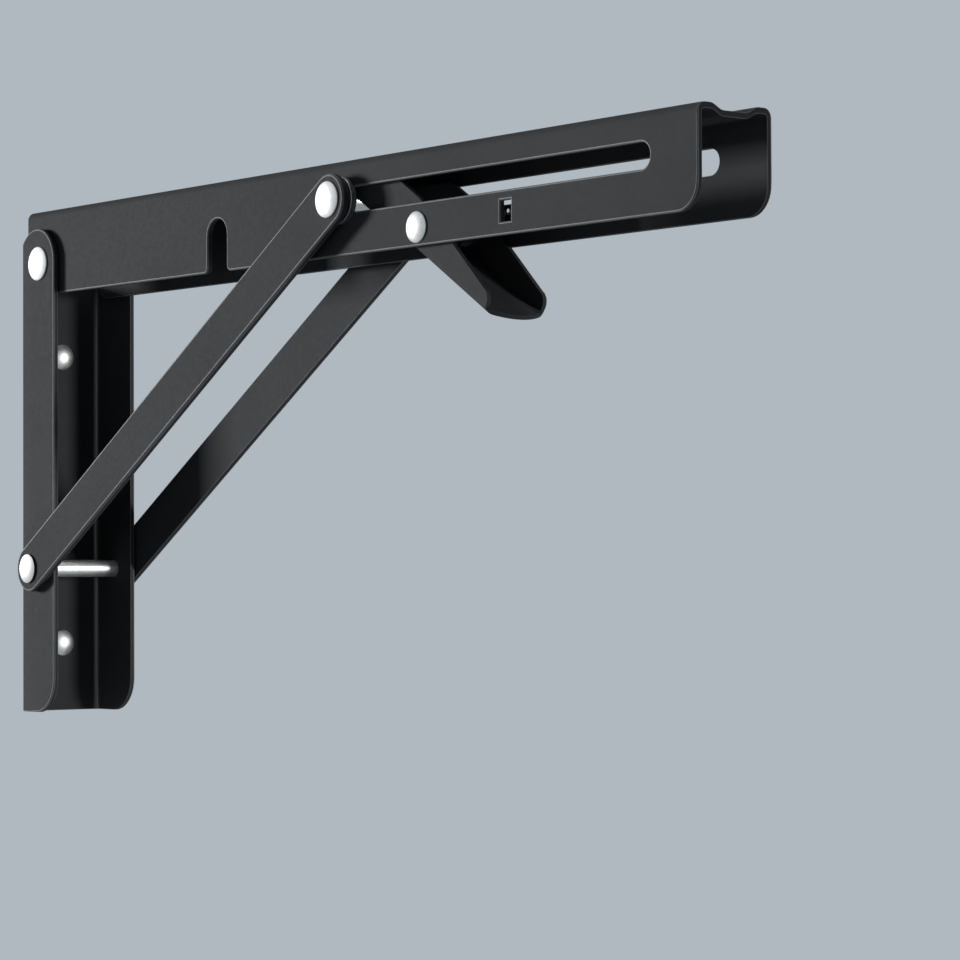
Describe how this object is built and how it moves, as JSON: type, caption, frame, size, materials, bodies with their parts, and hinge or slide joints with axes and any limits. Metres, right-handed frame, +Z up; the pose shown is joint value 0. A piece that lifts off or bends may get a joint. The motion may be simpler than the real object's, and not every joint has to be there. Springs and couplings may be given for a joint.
{
  "type": "folding shelf bracket",
  "caption": "Folding shelf bracket: a channel arm hinged on a wall plate, held level by a pair of flat struts and a sprung release lever.",
  "frame": {"origin": "on the wall face of the wall plate, halfway between the wall screw holes", "axes": "+X out from the wall along the open arm, +Z up along the wall, +Y across the bracket to the right of someone facing the wall"},
  "size_m": [0.3, 0.037, 0.148],
  "materials": {
    "black_powder_coat": "satin black powder coat on pressed steel",
    "plated_rivet": "bright nickel-plated steel",
    "zinc_washer": "zinc-plated steel",
    "spring_wire": "drawn and plated spring wire"
  },
  "bodies": {
    "wall_plate": {"wall_plate": "black_powder_coat", "hinge_pin": "plated_rivet", "hinge_washer_left": "zinc_washer", "hinge_washer_right": "zinc_washer", "strut_pin": "plated_rivet", "strut_washer_left": "zinc_washer", "strut_washer_right": "zinc_washer"},
    "arm": {"arm_channel": "black_powder_coat", "lever_rivet": "plated_rivet", "lever_washer_left": "zinc_washer", "lever_washer_right": "zinc_washer", "lever_spring": "spring_wire"},
    "struts": {"strut_left": "black_powder_coat", "strut_right": "black_powder_coat", "strut_stud_left": "plated_rivet", "strut_stud_right": "plated_rivet"},
    "slide_pins": {"slide_pin_left": "plated_rivet", "slide_pin_right": "plated_rivet", "slide_washer_left": "zinc_washer", "slide_washer_right": "zinc_washer"},
    "lever": {"release_lever": "black_powder_coat"}
  },
  "joints": [
    {"name": "arm_fold", "type": "hinge", "parent": "wall_plate", "child": "arm", "pos_m": [0.0112, 0, 0.0693], "axis": [0, 1, 0], "range_deg": [0, 90]},
    {"name": "strut_swing", "type": "hinge", "parent": "wall_plate", "child": "struts", "pos_m": [0.0102, 0, -0.02055], "axis": [0, 1, 0], "range_deg": [0, 120.2]},
    {"name": "pin_slide", "type": "slide", "parent": "arm", "child": "slide_pins", "axis": [1, 0, 0], "range_m": [0, 0.1182]},
    {"name": "lever_release", "type": "hinge", "parent": "arm", "child": "lever", "pos_m": [0.1935, 0, 0.0651], "axis": [0, 1, 0], "range_deg": [-32, 0], "stiffness_Nm_per_rad": 0.06, "springref_deg": 17.19, "deforming": ["lever_spring"]}
  ],
  "couplings": [
    {"joint": "strut_swing", "follows": "arm_fold", "ratio": 1.3346},
    {"joint": "pin_slide", "follows": "arm_fold", "m_per_rad": 0.075211}
  ]
}
